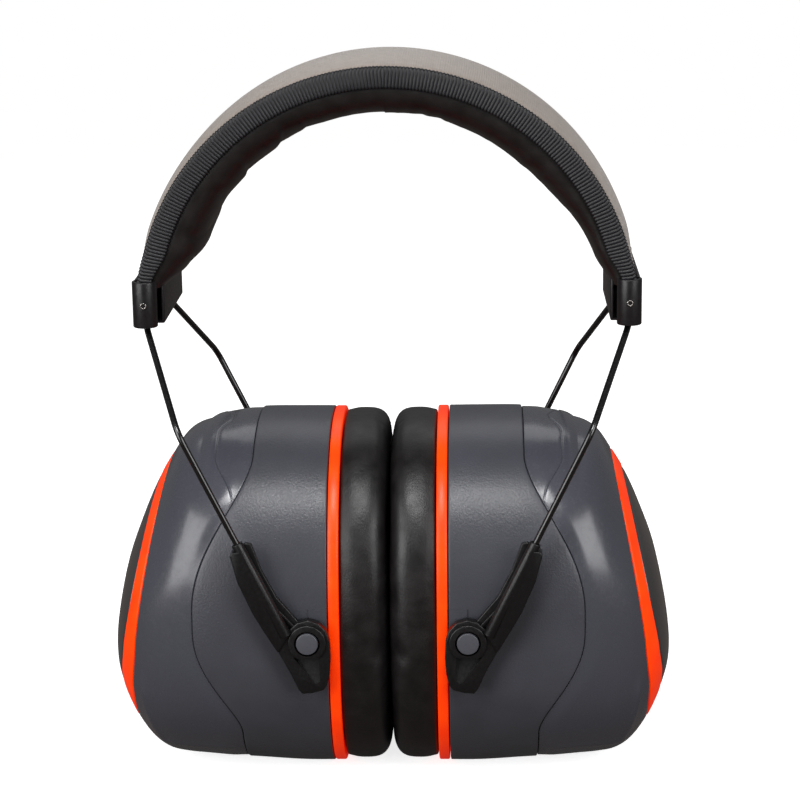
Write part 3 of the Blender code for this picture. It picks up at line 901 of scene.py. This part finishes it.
# Outlines seen from the front, as distance from the centre plane and height.
PLATE = (
    (28.7, 43.9), (25.3, 37.4), (23.5, 33.3), (22.5, 32.0), (19.9, 32.2), (16.9, 33.0),
    (15.9, 34.4), (15.2, 37.5), (14.9, 42.0), (15.1, 46.3), (15.9, 49.2), (17.8, 51.3),
    (20.6, 52.2), (23.3, 51.6), (25.6, 49.6), (27.6, 47.0),
)
BAR = (
    (40.2, 70.3), (39.6, 71.2), (36.6, 71.4), (35.9, 69.1), (32.9, 62.2), (29.2, 55.0),
    (26.4, 49.3), (25.4, 48.7), (28.5, 43.5), (31.9, 49.2), (34.8, 54.6), (38.4, 63.1),
)
WEB = (
    (37.2, 72.4), (36.4, 72.9), (34.9, 72.6), (33.9, 69.8), (32.3, 65.3), (28.7, 58.2),
    (23.5, 51.9), (22.6, 50.4), (26.8, 48.6), (33.4, 62.2), (37.2, 70.6),
)
RIBS = (
    ((29.3, 56.3), (29.6, 55.8), (24.4, 49.8), (23.9, 50.3)),
    ((28.5, 55.3), (29.0, 55.0), (26.1, 48.8), (25.5, 49.1)),
)
POCKET = ((24.5, 42.1), (17.9, 42.1), (17.7, 35.6), (18.5, 34.9), (19.4, 35.1), (22.3, 39.0))


def extruded(name, outline, back, front, bevel=0.3):
    """A plate with this outline between two depths in front of the middle."""
    deselect_all()
    bpy.ops.mesh.primitive_circle_add(vertices=len(outline), fill_type="NGON")
    plate = bpy.context.object
    plate.name = name
    put_points(plate, [(x * MM, -back * MM, z * MM) for x, z in outline])
    in_edit_mode(
        plate,
        lambda: bpy.ops.mesh.extrude_region_move(
            TRANSFORM_OT_translate={"value": (0.0, (back - front) * MM, 0.0)}),
        lambda: bpy.ops.mesh.select_all(action="SELECT"),
        lambda: bpy.ops.mesh.normals_make_consistent(inside=False))
    if bevel:
        apply(plate, "BEVEL", width=bevel * MM, segments=3, limit_method="ANGLE")
    return plate


def rod(name, radius, start, end, bevel=0.0, sides=48):
    """A cylinder between two points, with rounded rims."""
    start, end = Vector(start) * MM, Vector(end) * MM
    turn = (end - start).to_track_quat("Z", "Y").to_euler()
    deselect_all()
    bpy.ops.mesh.primitive_cylinder_add(vertices=sides, radius=radius * MM, location=(start + end) / 2,
                                        depth=(end - start).length, rotation=turn)
    made = bpy.context.object
    made.name = name
    bpy.ops.object.transform_apply(location=True, rotation=True, scale=True)
    if bevel:
        apply(made, "BEVEL", width=bevel * MM, segments=3, limit_method="ANGLE")
    return made


def combined(obj, other, operation):
    """Joins another mesh to this one, or cuts it away, and removes it."""
    apply(obj, "BOOLEAN", object=other, operation=operation, solver="EXACT")
    bpy.data.objects.remove(other)
    return obj


def wire_line(down):
    """A point on the line of the right front wire, this far below the top of its arm."""
    point = ARM_TOP + (ARM_TOP - WIRE_BEND).normalized() * down
    return (point.x, -WIRE_PLANE, point.z)


# %% [markdown]
# The tube runs the length of the bar, because the arm slides up the wire. The pocket's floor
# slopes out to the surface at its lower end, so its cutter's deep face is tilted.
# %% Arms
def build_arm(name):
    arm = extruded(name, PLATE, ARM_BACK, ARM_FRONT)
    x, z = PIVOT
    bar = extruded("bar", BAR, ARM_BACK, WIRE_PLANE + TUBE_RADIUS, 0.0)
    points = points_of(bar)
    front = points[:, 1] < -46.0 * MM
    points[front, 1] += 1.3 * MM * (1 - smooth_step(points[front, 2] / MM, 43.5, 60.0))
    put_points(bar, points)
    apply(bar, "BEVEL", width=0.28 * MM, segments=3, limit_method="ANGLE")
    combined(arm, bar, "UNION")
    combined(arm, rod("tube", TUBE_RADIUS, wire_line(-0.3), wire_line(27.5), 0.2), "UNION")
    combined(arm, extruded("web", WEB, ARM_BACK + 0.15, 46.0, 0.25), "UNION")
    for outline in RIBS:
        combined(arm, extruded("rib", outline, ARM_BACK + 0.4, 46.8, 0.12), "UNION")
    combined(arm, rod("boss", 4.95, (x, -44.5, z), (x, -47.85, z), 0.3, 72), "UNION")
    combined(arm, rod("hole", 3.35, (x, -40.0, z), (x, -50.0, z), 0.0, 72), "DIFFERENCE")
    combined(arm, rod("bore", 1.0, wire_line(-3.0), wire_line(26.6), 0.0, 24), "DIFFERENCE")
    pocket = extruded("pocket", POCKET, 46.0, 50.0, 0.0)
    points = points_of(pocket)
    floor = points[:, 1] > -47.0 * MM
    points[floor, 1] = -46.95 * MM + (points[floor, 2] - 34.9 * MM) * 0.26
    put_points(pocket, points)
    return combined(arm, pocket, "DIFFERENCE")


for (side, end), piece in on_each_corner(build_arm, "cup_arm").items():
    dress(piece, plastic["arm"], angle=32)
    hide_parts(f"arm_{side}_{end}")
    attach(piece, f"{side}_arms")
    print(piece.name, len(piece.data.polygons), "faces")

# %% [markdown]
# ## The headband's line
# The band is half a circle that runs straight into the clips. Its sections are given as radius
# and depth. Near the clips the band is pressed thinner, to fit inside them.
# Each piece of the band is made in two halves that meet at the top.
# %% The headband's line
BAND_CENTRE = 127.3
BAND_CROWN = 1.6
BAND_HALF_WIDTH = 24.0
BINDING = (1.6, 5.5)  # thickness and height; drawn 5.3 high first, made 5.5 for the tape's area
COVER_EDGE = BAND_HALF_WIDTH - BINDING[0] - 0.1
CLIP_MIDDLE = 63.4


def on_arc(angle, radius, depth):
    """Points of the right half of the band: angle in degrees from the top."""
    pressed = smooth_step(angle, 73.0, 82.0)
    radius = radius + pressed * (CLIP_MIDDLE + 0.25 + (radius - 62.15) * 0.66 - radius)
    turn = np.radians(angle)
    return np.stack([radius * np.sin(turn), depth + 0.0 * turn,
                     BAND_CENTRE + radius * np.cos(turn)], -1)


def follow_band(piece, side, *nodes):
    """Hides these CAD nodes, which half a band's piece stands in for, and bakes the piece's place into
    its mesh.
    """
    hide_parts(*nodes)
    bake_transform(piece)


# %% [markdown]
# ## Cover
# The cover is one strip of knitted fabric, laid over the band from edge to edge and turned in
# under the bindings. It is crowned across its width. Stretched this tight it has no folds.
# %% Cover
COVER_THICK = 1.1
COVER_SECTION = 45  # points across the cover


def build_cover(name):
    across = np.linspace(-1.0, 1.0, COVER_SECTION)
    depth = across * COVER_EDGE
    angles = np.linspace(0.0, BAND_ANGLE, 150)
    rings = []
    for angle in angles:
        crown = BAND_CROWN * (1 - 0.75 * smooth_step(angle, 70.0, 80.0))
        top = BAND_RADIUS + 0.1 + crown * (1 - np.abs(across) ** 3.2)
        turned = np.where(np.abs(across) > 0.999, 0.25, 0.0)
        upper = on_arc(np.full(COVER_SECTION, angle), top - turned, depth)
        lower = on_arc(np.full(COVER_SECTION, angle), top - COVER_THICK, depth)
        rings.append(np.concatenate([upper, lower[::-1], upper[:1]]))
    return laid_grid(name, with_ends(rings))


for side, piece in on_each_side(build_cover, "headband_cover").items():
    dress(piece, fabric["cover"], angle=50)
    follow_band(piece, side, "cover_crown", f"cover_{side}")
print("cover ready")

# %% [markdown]
# ## Bindings
# The tape round each edge is a grosgrain: thick weft cords side by side, 0.95 mm apart, that
# lean one way on top of the edge and stand straight on its face. The cords are real ridges,
# because they show in the outline of the band. The section is a closed loop on the band's edge,
# and not a strip with two hems.
# %% Bindings
RIB_PITCH = 0.95
RIB_HEIGHT = 0.34
TAPE_SECTION = 33  # points round the tape


def rib_ridge(along, up):
    """The tape's cords: 1 on the crest and 0 between two. up is -1 at its lower edge, 1 on top."""
    lean = 0.55 * smooth_step(up, 0.45, 1.0) - 0.16 * up
    return np.abs(np.cos(math.pi * (along / RIB_PITCH + lean))) ** 0.6


def build_binding(name):
    outer = BAND_HALF_WIDTH - RIB_HEIGHT
    thick = BINDING[0]
    high, low = BAND_RADIUS + 0.05, BAND_RADIUS - BINDING[1]
    section = []
    power = 2 / 4.0
    for turn in np.linspace(0.0, 2 * math.pi, TAPE_SECTION):
        across = math.copysign(abs(math.cos(turn)) ** power, math.cos(turn))
        up = math.copysign(abs(math.sin(turn)) ** power, math.sin(turn))
        section.append((across, up))
    across, up = np.array(section).T
    rings = []
    for along in np.linspace(0.0, COVER_LONG, int(COVER_LONG / RIB_PITCH * 7) + 1):
        angle = math.degrees(along / BAND_RADIUS)
        ridge = rib_ridge(along, up)
        shown = smooth_step(across, -0.2, 0.8)
        depth = outer - thick / 2 + (thick / 2 + RIB_HEIGHT * ridge * shown) * across
        lift = RIB_HEIGHT * (ridge - 0.5) * smooth_step(np.abs(up), 0.6, 1.0)
        radius = (high + low) / 2 + ((high - low) / 2 + lift) * up
        rings.append(on_arc(np.full(TAPE_SECTION, angle), radius, -depth))
    tape = laid_grid(name, with_ends(rings))
    x, _, z = points_of(tape).T / MM
    radius = np.hypot(x, z - BAND_CENTRE)
    along = BAND_RADIUS * np.arctan2(x, z - BAND_CENTRE)
    crest = rib_ridge(along, np.clip((radius - (high + low) / 2) / ((high - low) / 2), -1, 1))
    tape.data.attributes.new("crest", "FLOAT", "POINT").data.foreach_set("value", crest)
    return tape


for (side, end), piece in on_each_corner(build_binding, "edge_tape").items():
    dress(piece, fabric["tape"], angle=70)
    follow_band(piece, side, f"binding_crown_{end}", f"binding_{side}_{end}")
    print(piece.name, len(piece.data.polygons), "faces")

# %% [markdown]
# ## Headband pad
# The pad is a long pillow of foam in leatherette, sewn in under both bindings. It is full over
# the top and thins out towards the clips. Leatherette that is sewn round a curve has spare length
# on the inside, so it gathers: short creases run up from the pad's fullest line to the seam.
# %% Headband pad
PAD_END = 79.5
PAD_BACK = BAND_RADIUS - 3.6
PAD_SECTION = 72
PAD_INSIDE = 51.3  # radius of the pad's inner face where it is full
# Deep folds: the angle from the top, how far the fold leans over the width, and its depth.
FOLDS = {
    -1: ((25.0, 4.0, 0.6), (36.0, 9.0, 1.0), (47.0, 6.0, 0.9), (63.0, -5.0, 0.5)),
    1: ((9.0, -3.0, 0.4), (18.0, 4.0, 0.4)),
}


def pad_thickness(sign, angle):
    """How much of its full thickness the pad has left: the left end is stuffed fuller."""
    if sign > 0:
        return 0.97 - 0.5 * smooth_step(angle, 42.0, 84.0) - 0.2 * smooth_step(angle, 76.0, 84.0)
    return (0.94 + 0.06 * smooth_step(angle, 8.0, 40.0)
            - 0.35 * smooth_step(angle, 71.0, 80.0) - 0.4 * smooth_step(angle, 78.0, 84.0))


def pad_point(angle, radius, depth):
    """A point of the right half of the pad, which isn't pressed into the clip as the band is."""
    turn = math.radians(angle)
    return (radius * math.sin(turn), depth, BAND_CENTRE + radius * math.cos(turn))


def gathers(sign, angle, across):
    """How far the pad's skin stands out at its gathers and folds, in millimetres."""
    along = sign * angle * 0.9
    slow = noise.noise(Vector((along * 0.11, across * 0.35, 4.2))) * (0.7 if sign < 0 else 0.35)
    quick = noise.noise(Vector((along * 0.33 + 7.0, across * 0.8, 1.1))) * 0.8
    height = slow + quick * smooth_step(abs(across), 0.35, 0.85)
    for middle, lean, depth in FOLDS[sign]:
        apart = (angle - middle - lean * across) * 0.9
        height += depth * (math.exp(apart / 4.0) if apart < 0 else math.exp(-(apart / 0.9) ** 2))
    return height * smooth_step(angle, 83.0, 60.0)


def build_pad(name, sign):
    rings = []
    for angle in np.linspace(0.0, PAD_END + 3.0, 220):
        points = []
        for turn in np.linspace(0.0, 2 * math.pi, PAD_SECTION + 1):
            inward = max(math.sin(turn), 0.0) ** (2 / 2.6)
            back = min(math.sin(turn), 0.0)
            across = math.copysign(abs(math.cos(turn)) ** (2 / 2.9), math.cos(turn))
            full = (PAD_BACK - PAD_INSIDE) * pad_thickness(sign, angle)
            depth = (COVER_EDGE + 0.2) * across
            crease = gathers(sign, angle, across)
            radius = PAD_BACK - 2.0 - (full - 2.0) * inward - 1.4 * back
            radius += 2.2 * smooth_step(angle, 72.0, 81.0) * (1 - inward)
            radius += crease * inward * 0.7
            points.append(pad_point(angle, radius, depth))
        rings.append(np.array(points))
    pad = laid_grid(name, with_ends(rings))
    if sign < 0:
        turned = mirrored(pad, name, 0)
        bpy.data.objects.remove(pad)
        turned.name = name
        pad = turned
    return pad


for side, sign in SIDES.items():
    piece = build_pad(f"headband_pad_{side}", sign)
    dress(piece, fabric["pad"], angle=60)
    follow_band(piece, side, "pad_skin_crown", "pad_foam_crown", f"pad_skin_{side}",
                f"pad_foam_{side}")
    print(piece.name, len(piece.data.polygons), "faces")

# %% [markdown]
# ## Spring wires
# One wire runs in the front edge of the band and one in the rear. Each leaves the clip, is bent
# once towards the cup's side and ends in an arm. A curve with a round bevel is the natural way to
# draw wire. Its bends are short arcs, because hard steel doesn't take a sharp corner.
# %% Spring wires
WIRE_RADIUS = 0.85
CLIP_EXIT = Vector((63.6, -20.0, 125.2))


def rounded_corner(before, corner, after, reach, count=12):
    """A bend of a wire: points on a curve that leaves and joins its straight runs."""
    start = corner + (before - corner).normalized() * reach
    end = corner + (after - corner).normalized() * reach
    shares = [k / (count - 1) for k in range(count)]
    return [start * (1 - t) ** 2 + corner * 2 * t * (1 - t) + end * t ** 2 for t in shares]


def build_wire(name):
    route = [Vector(on_arc(np.array(angle), BAND_RADIUS - 2.45, -20.0))
             for angle in np.linspace(0.0, 76.0, 60)]
    inside = Vector((CLIP_EXIT.x, -20.0, 134.0))
    bend = Vector((WIRE_BEND.x, -WIRE_PLANE, WIRE_BEND.z))
    foot = Vector(wire_line(6.0))
    route += [inside]
    route += rounded_corner(inside, CLIP_EXIT, bend, 3.6)
    route += rounded_corner(CLIP_EXIT, bend, foot, 3.6)
    route += [foot]
    curve = bpy.data.curves.new(name, "CURVE")
    curve.dimensions = "3D"
    curve.bevel_depth = WIRE_RADIUS * MM
    curve.bevel_resolution = 6
    curve.use_fill_caps = True
    spline = curve.splines.new("POLY")
    spline.points.add(len(route) - 1)
    for point, place in zip(spline.points, route):
        point.co = (*(place * MM), 1.0)
    piece = bpy.data.objects.new(name, curve)
    bpy.context.scene.collection.objects.link(piece)
    only(piece)
    bpy.ops.object.convert(target="MESH")
    return close_up(bpy.context.object)


for (side, end), piece in on_each_corner(build_wire, "wire").items():
    dress(piece, metal["wire"], angle=50)
    follow_band(piece, side, f"spring_wire_crown_{end}", f"spring_wire_{side}_{end}")
print("spring wires ready")

# %% [markdown]
# ## End clips and rivets
# A clip is bent from one strip: a flat box that takes the band's end, with a round sleeve at its
# front and one at its rear, where the wires go in. The box and the two sleeves are joined by
# Booleans, and hollowed from the top. A hollow rivet goes through each sleeve.
# %% End clips
CLIP_LOW = Vector((58.5, -19.7, 125.4))
CLIP_HIGH = Vector((66.3, 19.7, 137.3))
SLEEVE = Vector((63.3, -22.2, 125.1))
SLEEVE_RADIUS = 3.25
CLIP_WALL = 0.7


def block(name, low, high, bevel=0.0):
    """A box between two corners, with rounded edges."""
    deselect_all()
    bpy.ops.mesh.primitive_cube_add(size=1.0, location=(low + high) / 2 * MM,
                                    scale=(high - low) * MM)
    made = bpy.context.object
    made.name = name
    bpy.ops.object.transform_apply(location=True, rotation=True, scale=True)
    if bevel:
        apply(made, "BEVEL", width=bevel * MM, segments=4, limit_method="ANGLE")
    return made


def build_clip(name):
    clip = block(name, CLIP_LOW, CLIP_HIGH, 0.5)
    wall = Vector((CLIP_WALL, -0.5, CLIP_WALL))
    sleeves = [(SLEEVE.x, SLEEVE.y * -sign) for sign in ENDS.values()]
    for x, y in sleeves:
        sleeve = rod("sleeve", SLEEVE_RADIUS, (x, y, SLEEVE.z), (x, y, CLIP_HIGH.z), 0.3, 64)
        combined(clip, sleeve, "UNION")
    inside = block("inside", CLIP_LOW + wall, CLIP_HIGH + Vector((-CLIP_WALL, 0.5, 2.0)))
    combined(clip, inside, "DIFFERENCE")
    for x, y in sleeves:
        hollow = rod("hollow", SLEEVE_RADIUS - 0.6, (x, y, SLEEVE.z + 1.0), (x, y, 140.0), 0.0, 48)
        combined(clip, hollow, "DIFFERENCE")
    return clip


for side, piece in on_each_side(build_clip, "band_clip").items():
    dress(piece, plastic["clip"], angle=30)
    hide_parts(f"end_clip_{side}")
    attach(piece, f"{side}_side")
print("end clips ready")

# %% [markdown]
# A rivet sits on the outer side of each sleeve: a short rod whose end is sunk in, so that it
# shows as a ring of metal with a hollow middle.
# %% Rivets
RIVET = Vector((63.3, -25.2, 131.2))


def build_rivet(name):
    """A ring of metal pressed over, with a hollow in its middle."""
    rivet = rod(name, 0.85, (RIVET.x, -22.0, RIVET.z), (RIVET.x, RIVET.y - 0.55, RIVET.z), 0.0, 32)
    for face in rivet.data.polygons:
        face.select = face.normal.y < -0.9
    bpy.ops.object.mode_set(mode="EDIT")
    bpy.ops.mesh.select_mode(type="FACE")
    bpy.ops.mesh.inset(thickness=0.35 * MM)
    bpy.ops.mesh.extrude_region_move(TRANSFORM_OT_translate={"value": (0.0, 0.7 * MM, 0.0)})
    bpy.ops.object.mode_set(mode="OBJECT")
    return apply(rivet, "BEVEL", width=0.12 * MM, segments=3, limit_method="ANGLE")


for (side, end), piece in on_each_corner(build_rivet, "hollow_rivet").items():
    dress(piece, metal["rivet"])
    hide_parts(f"clip_rivet_{side}_{end}")
    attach(piece, f"{side}_side")
print("rivets ready")

# %% [markdown]
# ## The stage
# The earmuffs stand on a white table that runs on into a white background. Polished plastic
# shows what is round it, so the light comes from large soft boxes at the left and the right,
# whose reflections run down the shells, a smaller one above and a weak one behind.
# %% Floor and world
def build_floor():
    """A round table top that shows white, but sends little light up at the object."""
    deselect_all()
    bpy.ops.mesh.primitive_circle_add(vertices=96, radius=1.2, fill_type="NGON",
                                      location=(0.0, 0.0, -0.0002))
    floor = bpy.context.object
    floor.name = "table"
    material, tree, shader, place = new_material("paper_white", "f4f4f4", 0.95)
    shader.inputs["Specular IOR Level"].default_value = 0.0
    shader.inputs["Emission Color"].default_value = (1.0, 1.0, 1.0, 1.0)
    seen = add_node(tree, "LightPath", {}).outputs["Is Camera Ray"]
    tree.links.new(spread(tree, seen, 0.05, 0.8, 0.0, 1.0), shader.inputs["Emission Strength"])
    tinted(tree, shader, seen, "4c433d", "f4f4f4", 0.0, 1.0)
    bumped(tree, shader, noise_of(tree, place, 2.0), 0.02)
    floor.data.materials.append(material)


def light_world(seen, felt):
    """A white background that lights the object less than it shows."""
    world = bpy.data.worlds.new("studio")
    world.use_nodes = True
    tree = world.node_tree
    tree.nodes["Background"].inputs["Color"].default_value = (1.0, 1.0, 1.0, 1.0)
    path = add_node(tree, "LightPath", {}).outputs["Is Camera Ray"]
    strength = spread(tree, path, felt, seen, 0.0, 1.0)
    tree.links.new(strength, tree.nodes["Background"].inputs["Strength"])
    bpy.context.scene.world = world


build_floor()
light_world(1.0, 0.14)

# %% [markdown]
# Each lamp is placed by its azimuth and elevation round one point in the middle of the earmuffs,
# and is aimed at it. Its size sets how large its reflection is on the polished shells.
# %% Lights
TARGET = Vector((2.47, 0.0, 99.36)) * MM


def from_target(azimuth, elevation, distance):
    """A point this far from the target: azimuth 0 is in front and 90 to the right."""
    turn, rise = math.radians(azimuth), math.radians(elevation)
    way = Vector((math.sin(turn) * math.cos(rise), -math.cos(turn) * math.cos(rise),
                  math.sin(rise)))
    return TARGET + way * distance


def soft_box(name, azimuth, elevation, distance, width, height, power):
    light = bpy.data.lights.new(name, "AREA")
    light.shape = "RECTANGLE"
    light.size = width
    light.size_y = height
    light.energy = power
    lamp = bpy.data.objects.new(name, light)
    lamp.location = from_target(azimuth, elevation, distance)
    lamp.rotation_euler = (TARGET - lamp.location).to_track_quat("-Z", "Y").to_euler()
    bpy.context.scene.collection.objects.link(lamp)


soft_box("box_left", -46.0, 17.0, 1.1, 0.8, 0.85, 9.0)
soft_box("box_right", 48.0, 20.0, 1.1, 0.7, 0.65, 6.0)
soft_box("box_above", -4.0, 56.0, 1.2, 0.45, 0.3, 7.0)
soft_box("box_behind", 180.0, 45.0, 1.4, 1.2, 0.6, 2.0)

# %% [markdown]
# The camera stands in front and a little above, two thirds of a metre away, with a long lens. It
# leans by less than a degree.
# %% Camera
def build_camera(azimuth, elevation, roll, distance, lens):
    camera = bpy.data.objects.new("camera", bpy.data.cameras.new("camera"))
    camera.data.lens = lens
    camera.data.clip_start = 0.01
    camera.location = from_target(azimuth, elevation, distance)
    aim = (TARGET - camera.location).to_track_quat("-Z", "Y")
    camera.rotation_mode = "QUATERNION"
    camera.rotation_quaternion = aim @ Quaternion((0.0, 0.0, 1.0), math.radians(roll))
    bpy.context.scene.collection.objects.link(camera)
    bpy.context.scene.camera = camera


build_camera(1.98, 13.97, -0.75, 658.49 * MM, 108.47)
bpy.context.scene.view_settings.view_transform = "Standard"
